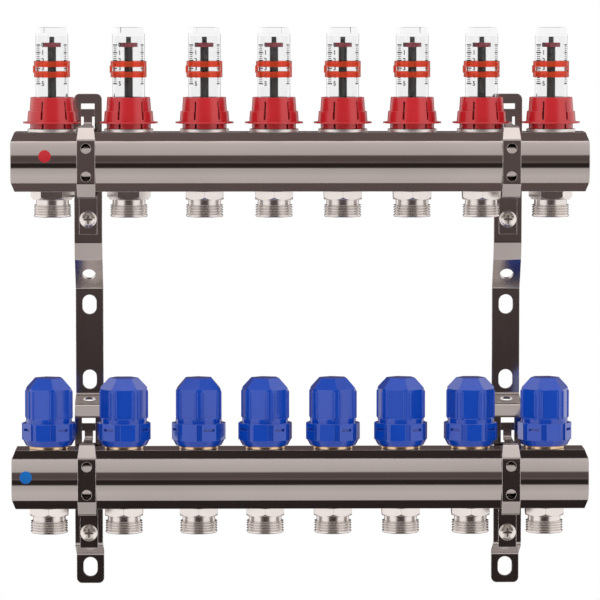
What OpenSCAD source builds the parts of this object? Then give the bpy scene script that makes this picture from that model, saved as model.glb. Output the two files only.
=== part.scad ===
// Underfloor heating manifold: a supply bar with flow meters above a return bar with
// hand valves, held by strap clamps on two bent steel wall brackets.
// Millimetres, +Z up. The wall is the plane y = 0 and the manifold stands on its -Y side,
// x = 0 is the middle of the bars and z = 0 lies midway between their axes.

/* [Bars] */
// Height and depth of the supply and return bars
bar_d = 42; // [40:0.5:46]
// Distance from a bar's axis back to the centre of its round front
bar_bulge = 3; // [2:0.1:5]
// Height of the rails above and below the round front
bar_rail_h = 6.15; // [5:0.05:7]
// Width of the rails, whose flats carry the fittings
bar_rail_w = 29; // [28:0.5:30.5]
// Water bore of both bars
bar_bore = 28; // [24:0.5:29]
// Height between the axes of the two bars
bar_spacing = 226; // [215:1:260]
// Chamfer turned on the outer edge of each bar end, measured across the bar
bar_chamfer = 0.8; // [0.3:0.1:1.5]
// Length of that chamfer along the bar for each millimetre across it
bar_chamfer_pull = 0.3; // [0.2:0.05:0.6]
// Length of the bevels at the ends of the rails
bar_bevel = 2.6; // [2:0.1:4]
// Minor diameter of the female pipe thread at the bar ends
end_minor_d = 30.29; // [29.5:0.01:31]
// Major diameter of the female pipe thread at the bar ends
end_major_d = 33.25; // [32.5:0.01:34]
// Pitch of the female pipe thread at the bar ends
end_pitch = 2.309; // [1.8:0.001:2.6]
// Depth of the female pipe thread at the bar ends
end_thread_len = 9; // [8.5:0.5:10]
// Depth of the hole at the bar ends, with a plain stretch behind the thread
end_hole_len = 12; // [11.5:0.1:12.5]

/* [Ports] */
// Distance from the left end of the supply bar to its first port
supply_end = 29; // [24:0.5:40]
// Distances between neighbouring ports of the supply bar
supply_gaps = [54.5, 54, 49.5, 49, 49.5, 49.5, 49.5]; // [48:0.5:60]
// Distance from the left end of the return bar to its first port
return_end = 26; // [22:0.5:40]
// Distances between neighbouring ports of the return bar
return_gaps = [53.5, 53.5, 47.5, 48.5, 48.5, 50, 53]; // [47:0.5:60]
// Distance from the last port to the right end of the bars
far_end = 26.5; // [23:0.5:40]
// Radius of the threaded port holes in the bars
port_r = 10.5; // [9.5:0.1:11]
// Depth of the sealing rings below the flats of the bars
seal_depth = 4; // [3.5:0.1:4.5]
// Thickness of the sealing rings
seal_d = 1.4; // [1:0.1:1.6]

/* [Outlet nipples] */
// Size of the hexagon across its flats
nipple_flats = 27; // [25:0.5:29]
// Height of the hexagon
nipple_hex_h = 6; // [5:0.5:9]
// Height of the plain neck under the hexagon
nipple_neck_h = 3.8; // [2:0.1:6]
// Radius of the plain neck
nipple_neck_r = 11.7; // [11:0.1:12]
// Outer radius of the male pipe thread
nipple_thread_r = 13.22; // [12.6:0.01:14]
// Depth of the male pipe thread
nipple_thread_depth = 1.16; // [0.6:0.01:1.3]
// Pitch of the male pipe thread
nipple_pitch = 1.814; // [1.2:0.001:2.2]
// Length of the male pipe thread
nipple_thread_len = 8.6; // [6:0.1:12]
// Water bore of a nipple
nipple_bore_r = 8.5; // [7:0.1:9.2]
// Turn of each supply hexagon about its own axis
supply_hex_turn = [0, 0, 30, 30, 30, 30, 30, 0]; // [0:1:60]
// Turn of each return hexagon about its own axis
return_hex_turn = [30, 30, 30, 30, 30, 30, 30, 30]; // [0:1:60]

/* [Flow meters] */
// Radius of the base flange on the bar
base_flange_r = 17.5; // [15:0.1:18]
// Thickness of the base flange
base_flange_h = 2.2; // [1.6:0.1:4]
// Height of the spigot that holds the sight tube
base_spigot_h = 12.8; // [8:0.1:16]
// Outer radius of the sight tube
tube_r = 11.6; // [11:0.1:12.2]
// Wall of the sight tube
tube_wall = 1.6; // [1.2:0.1:2]
// Height of the sight tube above the flange, up to its wrench head
tube_h = 67.6; // [60:0.1:75]
// Height of the wrench head on the sight tube
tube_head_h = 4.5; // [3:0.1:7]
// Size of the wrench head across its corners
tube_head_d = 21.8; // [18:0.1:22.4]
// Radius of the indicator stem
indicator_r = 3; // [2:0.1:3.5]
// Radius of the indicator disc
indicator_disc_r = 6.5; // [5:0.1:8]
// Thickness of the indicator disc
indicator_disc_h = 3; // [2:0.1:4]
// Length of the thin tip above the indicator disc
indicator_tip_h = 4.2; // [2:0.1:6]
// Radius of the thin tip
indicator_tip_r = 1.75; // [1:0.05:2.4]
// Radius of the flow plate at the foot of the indicator
plate_r = 6.4; // [5:0.1:6.8]
// Thickness of the flow plate
plate_h = 2; // [1.5:0.1:3]
// Height of the flow plate above the lower end of the base
plate_rise = 1.5; // [1:0.1:3]
// Length of the guides for the stems of indicators and valves
guide_len = 6; // [4:0.5:8]

/* [Red collars] */
// Radius of the thin flange of the collar
collar_flange_r = 20.7; // [19:0.1:21]
// Thickness of the thin flange
collar_flange_h = 1; // [0.8:0.1:1.6]
// Height of the tabs under the thin flange
collar_tab_h = 3.7; // [3.4:0.1:5]
// Outer radius of the tabs
collar_tab_r = 15.7; // [15.2:0.1:16]
// Lower and upper radius of the lower drum
collar_low_r = [17.7, 17.1]; // [16.5:0.1:18.5]
// Height of the lower drum
collar_low_h = 7.5; // [6:0.1:10]
// Lower and upper radius of the smooth panels that run over both drums
collar_panel_r = [18, 16.1]; // [15.6:0.1:18.3]
// Lower and upper radius of the upper drum
collar_up_r = [16, 15.3]; // [14.8:0.1:16.4]
// Height of the upper drum
collar_up_h = 10; // [8:0.1:13]
// Radius of the hollow inside the collar
collar_inner_r = 14; // [13.4:0.1:14.2]
// Thickness of the top wall of the collar
collar_top_t = 2.4; // [1.6:0.1:3]
// Number of slots round the collar
collar_slots = 6; // [4:1:8]
// Width of a slot
collar_slot_w = 1.6; // [1:0.1:2.4]
// Distance from the thin flange up to a slot
collar_slot_rise = 1.8; // [1:0.1:4]
// Height of a slot
collar_slot_h = 12.8; // [8:0.1:13]
// Height of the gaps between the tabs
collar_gap_h = 3.4; // [2:0.1:3.5]
// Turn of the slots about the collar's axis
collar_turn = 7; // [0:1:60]

/* [Marker rings] */
// Height of a marker ring above the base flange
marker_rise = 36.7; // [28:0.1:45]
// Height of each of the two bands
marker_band_h = 4.1; // [3:0.1:5]
// Height of the thin waist between the bands
marker_waist_h = 3.3; // [2:0.1:5]
// Wall of the bands
marker_wall = 0.9; // [0.7:0.05:1.4]
// Depth of the waist below the bands
marker_waist_depth = 0.4; // [0.2:0.05:0.5]

/* [Return valves] */
// Radius of the insert's flange on the bar
insert_flange_r = 14.2; // [12.5:0.1:15]
// Thickness of the insert's flange
insert_flange_h = 1.9; // [1.4:0.1:4]
// Outer radius of the threaded barrel
barrel_r = 15; // [14.7:0.1:15.4]
// Height of the threaded barrel
barrel_h = 10; // [8:0.1:11]
// Pitch of the barrel's thread
barrel_pitch = 1.5; // [1:0.1:2]
// Depth of the barrel's thread
barrel_thread_depth = 0.92; // [0.5:0.01:1.1]
// Radius of the valve pin
pin_r = 2.5; // [2:0.1:3.5]
// Height of the valve pin above the barrel
pin_proud = 2.3; // [2.3:0.1:3]
// Radius of the valve disc
disc_r = 9.8; // [9.4:0.1:11]
// Thickness of the valve disc
disc_h = 3; // [2:0.1:4]
// Lift of the valve disc from closed to open
valve_lift = 2.2; // [1.5:0.1:2.2]

/* [Blue caps] */
// Gap between an open cap and the flat on the bar
cap_rise = 2.5; // [2.5:0.1:5]
// Radius at the bottom of the cap
cap_foot_r = 16.4; // [16.2:0.1:16.8]
// Height of the chamfer under the skirt
cap_chamfer_h = 4.1; // [3:0.1:6]
// Radius at the top of the chamfer
cap_chamfer_r = 18.6; // [18:0.1:19]
// Distance from the axis to the eight flats of the skirt
cap_skirt_flat = 18.5; // [18:0.1:19]
// Height of the skirt
cap_skirt_h = 11.9; // [10:0.1:15]
// Width of the grooves between the flats of the skirt
cap_groove_w = 4; // [2.5:0.1:5]
// Radius at the bottom of the grooves
cap_groove_r = 18; // [17.4:0.1:18.3]
// Length of the small slot in every second flat
cap_slot_len = 8; // [5:0.1:9]
// Height of the small slot
cap_slot_h = 1.9; // [1:0.1:3]
// Depth of the small slot
cap_slot_depth = 1.6; // [0.6:0.1:2]
// Height of the small slot above the lower edge of the skirt
cap_slot_rise = 6.7; // [5:0.1:8]
// Height of the neck between skirt and grip
cap_neck_h = 2.6; // [1.6:0.1:4]
// Radius of the neck
cap_neck_r = 16.4; // [15.8:0.1:17]
// Height of the grip
cap_grip_h = 21.6; // [16:0.1:26]
// Radius of the ribs on the grip
cap_grip_r = 16.7; // [16:0.1:17.4]
// Distance from the axis to the six panels of the grip
cap_panel = 15.5; // [15:0.1:16]
// Height of the six-sided top
cap_top_h = 8; // [7:0.1:12]
// Distance from the axis to the six facets at the very top
cap_top_flat = 9; // [7:0.1:10]
// Radius of the hollow inside the grip
cap_hollow_r = 12.5; // [10:0.1:13]
// Thickness of the wall at the top of the cap
cap_top_wall = 3; // [2:0.1:5]
// Radius of the pusher inside the cap
cap_pusher_r = 4; // [3:0.1:6]
// Turn of each cap about its own axis
cap_turn = [12, 33, 2, 12, 8, 14, 28, 40]; // [0:1:60]

/* [Wall brackets] */
// Width of the bracket strip
strip_w = 20; // [18:0.5:24]
// Thickness of the bracket strip
strip_t = 2; // [1.5:0.1:2.5]
// Radius of the bends, at the middle of the strip
strip_bend_r = 3; // [2.2:0.1:3.5]
// Distance from the wall to the front of the supply seat
supply_off = 22; // [20:0.5:30]
// Distance from the wall to the front of the return seat
return_off = 28; // [26:0.5:36]
// Height of the bracket's top end above the supply bar's axis
seat_top = 47.5; // [46:0.5:60]
// Depth of the first bend below the supply bar's axis
seat_drop = 59.5; // [57:0.5:64]
// Height of the gently sloping stretch below the supply seat
ease_h = 12; // [9:0.5:13]
// Height of the gently sloping stretch above the return seat
low_ease_h = 8; // [7:0.5:11]
// How far the gently sloping stretches lean
ease_lean = 3.8; // [2:0.1:5]
// Height of the long slope from the supply seat to the wall
slope_h = 22; // [18:0.5:30]
// Height of the return seat above the return bar's axis
seat_rise = 41.5; // [40:0.5:46]
// Height of the steep step from the wall to the return seat
step_h = 4.5; // [4:0.5:9]
// Depth of the last bend below the return bar's axis
foot_drop = 51.5; // [51.5:0.5:60]
// Height of the slope from the return seat to the foot
foot_slope_h = 9; // [8:0.5:16]
// Length of the foot on the wall
foot_len = 22.5; // [18:0.5:30]
// Corner radius at the ends of the strip
strip_corner_r = 4; // [2:0.5:6]
// Width of the wall slots
slot_w = 10; // [8:0.5:12]
// Length of the wall slots
slot_len = 14; // [12.5:0.5:16]
// Distance from a bend or end to the middle of its wall slot
slot_inset = 12; // [9.5:0.5:14]
// Diameter of the round holes in the slopes
slope_hole_d = 9.5; // [6:0.5:11]
// Width of the windows for the clamps
window_w = 9.7; // [8.5:0.1:12]
// Lower edge of a window above its bar's axis
window_low = 22.5; // [21.5:0.1:23.3]
// Upper edge of a window above its bar's axis
window_high = 40.5; // [39.5:0.1:42]

/* [Clamps and screws] */
// Width of a clamp strap
strap_w = 13; // [12:0.5:14]
// Thickness of a clamp strap
strap_t = 1.5; // [1.2:0.1:1.8]
// Radius of the bends, at the middle of the strap
strap_bend_r = 2.4; // [1.8:0.1:2.8]
// Half height of the flat front of a strap
strap_front = 15.5; // [13:0.1:16.5]
// How far the slopes of a strap lean back
strap_lean = 7; // [5:0.1:9.5]
// Height of the strap's legs above and below the bar's axis
strap_leg = 25; // [24.4:0.1:25.4]
// Width of the neck that passes through the window
strap_neck_w = 6; // [5:0.1:7]
// Lower edge of the cross head behind the bracket, above the bar's axis
strap_head_low = 31; // [30:0.1:33]
// Upper edge of the cross head behind the bracket, above the bar's axis
strap_head_high = 36.5; // [35.5:0.1:39]
// Length of the strap below the bar's axis
strap_tail = 53.5; // [50:0.5:54]
// Radius of the two holes in the front of a strap
strap_hole_r = 3.5; // [2:0.1:4]
// Distance from the bar's axis to the holes in the front
strap_hole_z = 10; // [6:0.1:11]
// Distance from the bar's axis to the screw below it
screw_z = 42.5; // [40:0.5:44]
// Radius of the screw's shank
screw_r = 2.4; // [2:0.1:3]
// Radius of the screw's head
screw_head_r = 6.2; // [4:0.1:6.4]
// Height of the screw's head
screw_head_h = 3.4; // [2:0.1:4]
// Length of the screw's shank behind the bracket
screw_proud = 4; // [2:0.5:8]
// Width of the arms of the cross recess in the screw's head
recess_w = 1.3; // [0.8:0.1:1.6]
// Length of the cross recess from end to end
recess_len = 6.4; // [3.5:0.1:8]
// Depth of the cross recess
recess_depth = 1.8; // [1:0.1:2.2]

/* [Marks] */
// Radius of the coloured marks on the bars
mark_r = 4.4; // [3:0.1:6]
// Thickness of the coloured marks
mark_t = 0.3; // [0.2:0.05:0.6]
// Distance from the left end of the supply bar to its mark
supply_mark_x = 24.4; // [10:0.1:30]
// Height of the supply mark above the bar's axis
supply_mark_z = 4.4; // [-6:0.1:6]
// Distance from the left end of the return bar to its mark
return_mark_x = 10.3; // [8:0.1:30]
// Height of the return mark above the bar's axis
return_mark_z = 2.4; // [-6:0.1:6]

/* [Clearances] */
// Gap between a fixed piece and its seat
seat_gap = 0.15; // [0.1:0.05:0.3]
// Gap between pieces that move past each other
run_gap = 0.3; // [0.25:0.05:0.4]
// Gap between a threaded shank and its hole
thread_gap = 0.1; // [0.05:0.05:0.2]

/* [Hidden] */
$fn = 96;
// Overshoot of cutting shapes
cut = 1;
// Length of cutting shapes that pass right through a bar
far = 60;
// Share of a thread's pitch taken by half a groove
groove_half = 0.37;
// Lead-in chamfer of the pipe threads
lead = 0.6;
// Chamfer of the female thread's mouth
mouth = 1.5;
// Distance that shanks reach past the bar's wall
shank_past = 1;
// Points along each bend of a strip
bend_steps = 6;
// Sides of a cap's skirt and panels of its grip
skirt_sides = 8;
grip_panels = 6;
// Gap between a mark and its bar
mark_gap = seat_gap / 3;
// Share of the return ports in the place of a bracket between its neighbours
bracket_pull = 0.75;

circuits = len(supply_gaps) + 1;
function total(list, n) = n <= 0 ? 0 : list[n - 1] + total(list, n - 1);
supply_run = supply_end + total(supply_gaps, circuits - 1);
return_run = return_end + total(return_gaps, circuits - 1);
bar_len = max(supply_run, return_run) + far_end;
supply_x = [for (i = [0:circuits - 1]) supply_end + total(supply_gaps, i) - bar_len / 2];
return_x = [for (i = [0:circuits - 1]) return_end + total(return_gaps, i) - bar_len / 2];

bar_r = bar_d / 2;
bore_r = bar_bore / 2;
bar_front_r = bar_r + bar_bulge;
rail_z = bar_r - bar_rail_h;
corner_r = norm([bar_rail_w / 2, bar_r]) + cut;
corner_chamfer = bar_chamfer_pull * (corner_r - bar_r + bar_chamfer);
seal_z = bar_r - seal_depth;
seal_r = port_r - mark_gap - seal_d / 2;
supply_y = -(supply_off + seat_gap + bar_r);
return_y = -(return_off + seat_gap + bar_r);
supply_z = bar_spacing / 2;
return_z = -bar_spacing / 2;
shank_r = port_r - thread_gap;
shank_low = bore_r - shank_past;

// Heights above a bar's axis, flow meters
flange_top = bar_r + base_flange_h;
tube_low = flange_top + run_gap;
tube_top = flange_top + tube_h;
tube_bore = tube_r - tube_wall;
spigot_r = tube_bore - run_gap;
spigot_top = flange_top + base_spigot_h;
collar_low = flange_top + run_gap;
collar_flange_z = collar_low + collar_tab_h;
collar_drum_z = collar_flange_z + collar_flange_h;
collar_step_z = collar_drum_z + collar_low_h;
collar_top_z = collar_step_z + collar_up_h;
indicator_ceiling = tube_top - tube_wall;
indicator_tip_z = indicator_ceiling - 2 * run_gap;
indicator_disc_z = indicator_tip_z - indicator_tip_h - indicator_disc_h;
indicator_low = shank_low + plate_rise;
chamber_r = plate_r + 2 * run_gap;
marker_low = flange_top + marker_rise;
marker_r = tube_r + run_gap + marker_wall;

// Heights above a bar's axis, return valves
barrel_low = bar_r + insert_flange_h;
barrel_top = barrel_low + barrel_h;
cap_low = bar_r + cap_rise;
cap_skirt_z = cap_low + cap_chamfer_h;
cap_neck_z = cap_skirt_z + cap_skirt_h;
cap_grip_z = cap_neck_z + cap_neck_h;
cap_shoulder_z = cap_grip_z + cap_grip_h;
cap_bore_r = barrel_r + run_gap;
pin_top = barrel_top + pin_proud;
pusher_low = pin_top + run_gap;
cap_bore_top = barrel_top + valve_lift + run_gap;
cap_hollow_top = cap_shoulder_z - cap_top_wall;
nipple_seat = -(bore_r - shank_past);
disc_low = nipple_seat + run_gap + valve_lift;

// Wall brackets
function mid(list, i) = (list[i] + list[i + 1]) / 2;
function bracket_x(i) = bracket_pull * mid(return_x, i) + (1 - bracket_pull) * mid(supply_x, i);
left_x = bracket_x(0);
right_x = bracket_x(circuits - 2);
wall_mid = -strip_t / 2;
supply_mid = -supply_off + strip_t / 2;
return_mid = -return_off + strip_t / 2;
wall_high = supply_z - seat_drop - ease_h - slope_h;
ease_low = return_z + seat_rise + low_ease_h;
wall_low = ease_low + step_h;
foot_high = return_z - foot_drop - foot_slope_h;
foot_end = foot_high - foot_len;
strip_points = [
  [supply_mid, supply_z + seat_top],
  [supply_mid, supply_z - seat_drop],
  [supply_mid + ease_lean, supply_z - seat_drop - ease_h],
  [wall_mid, wall_high],
  [wall_mid, wall_low],
  [return_mid + ease_lean, ease_low],
  [return_mid, return_z + seat_rise],
  [return_mid, return_z - foot_drop],
  [wall_mid, foot_high],
  [wall_mid, foot_end]
];

// Clamps, seen from their bar's axis with +Y towards the wall
plate_front = bar_r + seat_gap;
strap_front_y = -(bar_r + seat_gap + strap_t / 2);
strap_slope_y = strap_front_y + strap_lean;
strap_tail_y = plate_front - seat_gap - strap_t / 2;
strap_head_y = plate_front + strip_t + run_gap + strap_t / 2;
strap_points = [
  [strap_tail_y, -strap_tail],
  [strap_tail_y, -strap_leg],
  [strap_slope_y, -strap_leg],
  [strap_front_y, -strap_front],
  [strap_front_y, strap_front],
  [strap_slope_y, strap_leg],
  [strap_head_y, strap_leg],
  [strap_head_y, strap_head_high]
];

function per_circuit(name) = [for (i = [1:circuits]) str(name, "_", i)];

// A strip bent along a path of points in the Y-Z plane

function unit(v) = v / norm(v);

// Points of the arc of radius r that rounds the corner b between a and c
function bend(a, b, c, r) =
  let (u = unit(a - b))
  let (w = unit(c - b))
  let (half = acos(u * w) / 2)
  let (middle = b + unit(u + w) * r / sin(half))
  let (first = b + u * r / tan(half) - middle)
  let (last = b + w * r / tan(half) - middle)
  let (sweep = 180 - 2 * half)
  [for (i = [0:bend_steps])
    middle + (sin(sweep * (1 - i / bend_steps)) * first + sin(sweep * i / bend_steps) * last) / sin(sweep)];

function rounded(points, r) = concat(
  [points[0]],
  [for (i = [1:len(points) - 2]) each bend(points[i - 1], points[i], points[i + 1], r)],
  [points[len(points) - 1]]
);

function side_of(p, i) =
  let (d = unit(p[min(i + 1, len(p) - 1)] - p[max(i - 1, 0)]))
  [-d[1], d[0]];

module bent_strip(points, r, thick, wide) {
  path = rounded(points, r);
  last = len(path) - 1;
  outline = concat(
    [for (i = [0:last]) path[i] + side_of(path, i) * thick / 2],
    [for (i = [last:-1:0]) path[i] - side_of(path, i) * thick / 2]
  );
  rotate([90, 0, 90]) linear_extrude(wide, center = true) polygon(outline);
}

// Threads are rings of V grooves with flat crests

function grooves(r, depth, pitch, length) = [
  for (i = [0:floor(length / pitch) - 1])
    for (k = [-1:1])
      [r - (1 - abs(k)) * depth, (i + 0.5 + k * groove_half) * pitch]
];

module threaded_rod(r, depth, pitch, length) {
  rotate_extrude() polygon(concat(
    [[0, 0], [r, 0]],
    grooves(r, depth, pitch, length - lead),
    [[r, length - lead], [r - lead, length], [0, length]]
  ));
}

module threaded_hole(minor_r, major_r, pitch, length, depth) {
  walls = grooves(minor_r, minor_r - major_r, pitch, length - mouth);
  rotate_extrude() polygon(concat(
    [[0, -cut], [major_r, -cut], [major_r, 0], [minor_r, mouth]],
    [for (p = walls) [p[0], p[1] + mouth]],
    [[minor_r, depth], [0, depth]]
  ));
}

// The groove of a sealing ring in its shank, and the ring itself
module seal_groove() {
  groove_h = seal_d + 2 * seat_gap;
  translate([0, 0, seal_z - groove_h / 2]) difference() {
    cylinder(r = port_r, h = groove_h);
    translate([0, 0, -cut]) cylinder(r = seal_r - seal_d / 2 - seat_gap, h = groove_h + 2 * cut);
  }
}

module seal_ring() {
  color("#2a2a2a") translate([0, 0, seal_z]) rotate_extrude()
    translate([seal_r, 0]) circle(d = seal_d, $fn = 32);
}

// Side view of a bar, with its four end corners bevelled
module bar_side() {
  half = bar_len / 2;
  rotate([90, 0, 0]) linear_extrude(2 * far, center = true) polygon([
    [half, rail_z],
    [half - bar_bevel, bar_r + cut / 10],
    [bar_bevel - half, bar_r + cut / 10],
    [-half, rail_z],
    [-half, -rail_z],
    [bar_bevel - half, -bar_r - cut / 10],
    [half - bar_bevel, -bar_r - cut / 10],
    [half, -rail_z]
  ]);
}

// Round front and back of a bar, as high as the rails leave them
module bar_round() {
  intersection() {
    cube([bar_len + 2 * cut, bar_d + 2 * cut, 2 * rail_z], center = true);
    along_front() cylinder(r = bar_front_r, h = bar_len + 4 * cut, center = true);
    mirror([0, 1, 0]) along_front() cylinder(r = bar_front_r, h = bar_len + 4 * cut, center = true);
  }
}

// Lays a child along the bar, about the centre of its round front
module along_front() {
  translate([0, bar_bulge, 0]) rotate([0, 90, 0]) children();
}

module bar(places) {
  color("#b9b2ae") difference() {
    intersection() {
      bar_side();
      union() {
        bar_round();
        cube([bar_len + 2 * cut, bar_rail_w, bar_d], center = true);
      }
      rotate([0, 90, 0]) translate([0, 0, -bar_len / 2]) rotate_extrude() polygon([
        [0, 0],
        [bar_r - bar_chamfer, 0],
        [corner_r, corner_chamfer],
        [corner_r, bar_len - corner_chamfer],
        [bar_r - bar_chamfer, bar_len],
        [0, bar_len]
      ]);
    }
    rotate([0, 90, 0]) cylinder(r = bore_r, h = bar_len + 2 * cut, center = true);
    for (side = [-1, 1]) rotate([0, side * 90, 0]) translate([0, 0, bar_len / 2]) mirror([0, 0, 1])
      threaded_hole(end_minor_d / 2, end_major_d / 2, end_pitch, end_thread_len, end_hole_len);
    for (x = places) translate([x, 0, 0]) cylinder(r = port_r, h = bar_d + 2 * cut, center = true);
  }
}

module nipple(turn) {
  hex_r = nipple_flats / sqrt(3);
  hex_top = -bar_r - seat_gap;
  neck_top = hex_top - nipple_hex_h;
  thread_top = neck_top - nipple_neck_h;
  hex_chamfer = hex_r - nipple_flats / 2;
  color("#b9b2ae") difference() {
    union() {
      translate([0, 0, hex_top - cut]) cylinder(r = shank_r, h = nipple_seat - hex_top + cut);
      intersection() {
        rotate(turn) translate([0, 0, neck_top]) cylinder(r = hex_r, h = nipple_hex_h, $fn = 6);
        translate([0, 0, neck_top]) rotate_extrude() polygon([
          [0, 0],
          [nipple_flats / 2, 0],
          [hex_r, hex_chamfer],
          [hex_r, nipple_hex_h],
          [0, nipple_hex_h]
        ]);
      }
      translate([0, 0, thread_top - cut]) cylinder(r = nipple_neck_r, h = nipple_neck_h + 2 * cut);
      translate([0, 0, thread_top]) mirror([0, 0, 1])
        threaded_rod(nipple_thread_r, nipple_thread_depth, nipple_pitch, nipple_thread_len);
    }
    translate([0, 0, thread_top - nipple_thread_len - cut])
      cylinder(r = nipple_bore_r, h = far);
  }
}

// Base of a flow meter: shank, flange and spigot, with a guide for the indicator
module meter_base() {
  color("#b9b2ae") difference() {
    union() {
      translate([0, 0, shank_low]) cylinder(r = shank_r, h = bar_r - shank_low + cut);
      translate([0, 0, bar_r + seat_gap]) cylinder(r = base_flange_r, h = base_flange_h - seat_gap);
      translate([0, 0, flange_top - cut]) cylinder(r = spigot_r, h = base_spigot_h + cut);
    }
    seal_groove();
    translate([0, 0, shank_low - cut]) cylinder(r = indicator_r + run_gap, h = far);
    translate([0, 0, shank_low - cut]) cylinder(r = chamber_r, h = spigot_top - guide_len - shank_low + cut);
  }
}

module sight_tube() {
  color("#e8ecee", 0.4) difference() {
    union() {
      translate([0, 0, tube_low]) cylinder(r = tube_r, h = tube_top - tube_low);
      translate([0, 0, tube_top - cut]) cylinder(d = tube_head_d, h = tube_head_h + cut, $fn = 6);
    }
    translate([0, 0, tube_low - cut]) cylinder(r = tube_bore, h = indicator_ceiling - tube_low + cut);
  }
}

module indicator() {
  color("#2b2622") translate([0, 0, indicator_low]) {
    cylinder(r = plate_r, h = plate_h);
    cylinder(r = indicator_r, h = indicator_disc_z - indicator_low);
  }
  color("#7a2a30") translate([0, 0, indicator_disc_z]) {
    cylinder(r = indicator_disc_r, h = indicator_disc_h);
    cylinder(r = indicator_tip_r, h = indicator_tip_z - indicator_disc_z);
  }
}

// A smooth panel of a collar, from one slot to the next
module collar_panel() {
  share = 360 / collar_slots;
  panel_low = collar_flange_z + collar_flange_h / 2;
  intersection() {
    translate([0, 0, panel_low]) rotate(180 - share / 2)
      cylinder(r1 = collar_panel_r[0], r2 = collar_panel_r[1], h = collar_top_z - panel_low);
    translate([0, 0, collar_flange_z]) linear_extrude(far) polygon([
      [0, 0],
      [far, 0],
      [far * cos(share), far * sin(share)]
    ]);
  }
}

module collar() {
  color("#c62f38") difference() {
    union() {
      for (i = [1:collar_slots / 2:collar_slots - 1])
        rotate(collar_turn + i * 360 / collar_slots) collar_panel();
      translate([0, 0, collar_low]) cylinder(r = collar_tab_r, h = collar_tab_h + cut / 2);
      translate([0, 0, collar_flange_z]) cylinder(r = collar_flange_r, h = collar_flange_h);
      translate([0, 0, collar_drum_z]) cylinder(r1 = collar_low_r[0], r2 = collar_low_r[1], h = collar_low_h);
      translate([0, 0, collar_step_z]) cylinder(r1 = collar_up_r[0], r2 = collar_up_r[1], h = collar_up_h);
    }
    translate([0, 0, collar_low - cut]) cylinder(r = tube_r + run_gap, h = far);
    translate([0, 0, collar_low - cut])
      cylinder(r = collar_inner_r, h = collar_top_z - collar_top_t - collar_low + cut);
    for (i = [0:collar_slots - 1]) rotate(collar_turn + i * 360 / collar_slots) {
      translate([collar_inner_r - cut, -collar_slot_w / 2, collar_drum_z + collar_slot_rise])
        cube([far, collar_slot_w, collar_slot_h]);
      translate([collar_inner_r - cut, -collar_slot_w / 2, collar_low - cut])
        cube([far, collar_slot_w, collar_gap_h + cut]);
    }
  }
}

module marker() {
  inner_r = tube_r + run_gap;
  top = 2 * marker_band_h + marker_waist_h;
  color("#d8442e", 0.8) translate([0, 0, marker_low]) rotate_extrude() polygon([
    [inner_r, 0],
    [marker_r, 0],
    [marker_r, marker_band_h],
    [marker_r - marker_waist_depth, marker_band_h],
    [marker_r - marker_waist_depth, top - marker_band_h],
    [marker_r, top - marker_band_h],
    [marker_r, top],
    [inner_r, top]
  ]);
}

// Threaded insert that carries a valve pin and the cap
module valve_insert() {
  color("#c79a6b") difference() {
    union() {
      translate([0, 0, shank_low]) cylinder(r = shank_r, h = bar_r - shank_low + cut);
      translate([0, 0, bar_r + seat_gap]) cylinder(r = insert_flange_r, h = insert_flange_h);
      translate([0, 0, barrel_low]) threaded_rod(barrel_r, barrel_thread_depth, barrel_pitch, barrel_h);
    }
    seal_groove();
    translate([0, 0, shank_low - cut]) cylinder(r = pin_r + run_gap, h = far);
    translate([0, 0, shank_low - cut]) cylinder(r = chamber_r, h = barrel_top - guide_len - shank_low + cut);
  }
}

module valve_pin() {
  color("#d0d0cc") translate([0, 0, disc_low]) cylinder(r = pin_r, h = pin_top - disc_low);
  color("#33302e") translate([0, 0, disc_low]) cylinder(r = disc_r, h = disc_h);
}

// Eight-sided skirt, ribbed grip and six-sided top, turned as one hand wheel
module cap_shell() {
  half_side = 180 / skirt_sides;
  difference() {
    translate([0, 0, cap_skirt_z])
      cylinder(r = cap_skirt_flat / cos(half_side), h = cap_skirt_h, $fn = skirt_sides);
    for (i = [0:skirt_sides - 1]) rotate(2 * i * half_side)
      translate([cap_groove_r, -cap_groove_w / 2, cap_skirt_z - cut])
        cube([far, cap_groove_w, cap_skirt_h + 2 * cut]);
    for (i = [0:2:skirt_sides - 1]) rotate((2 * i + 1) * half_side)
      translate([cap_skirt_flat - cap_slot_depth, -cap_slot_len / 2, cap_skirt_z + cap_slot_rise])
        cube([far, cap_slot_len, cap_slot_h]);
  }
  translate([0, 0, cap_low]) cylinder(r1 = cap_foot_r, r2 = cap_chamfer_r, h = cap_chamfer_h);
  translate([0, 0, cap_neck_z - cut]) cylinder(r = cap_neck_r, h = cap_neck_h + 2 * cut);
  difference() {
    translate([0, 0, cap_grip_z]) cylinder(r = cap_grip_r, h = cap_grip_h + cap_top_h);
    for (i = [0:grip_panels - 1]) rotate(i * 360 / grip_panels) {
      translate([cap_panel, -far / 2, cap_grip_z - cut]) cube([far, far, cap_grip_h + cap_top_h + 2 * cut]);
      translate([cap_panel, 0, cap_shoulder_z]) rotate([0, -atan((cap_panel - cap_top_flat) / cap_top_h), 0])
        translate([0, -far / 2, 0]) cube([far, far, far]);
    }
  }
}

module cap() {
  color("#1d43a6") difference() {
    cap_shell();
    translate([0, 0, cap_low - cut]) cylinder(r = cap_bore_r, h = cap_bore_top - cap_low + cut);
    difference() {
      translate([0, 0, cap_bore_top - cut])
        cylinder(r = cap_hollow_r, h = cap_hollow_top - cap_bore_top + cut);
      translate([0, 0, cap_bore_top - 2 * cut]) cylinder(r = cap_pusher_r, h = far);
    }
  }
  color("#1d43a6") translate([0, 0, pusher_low])
    cylinder(r = cap_pusher_r, h = cap_hollow_top - pusher_low + cut);
}

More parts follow.
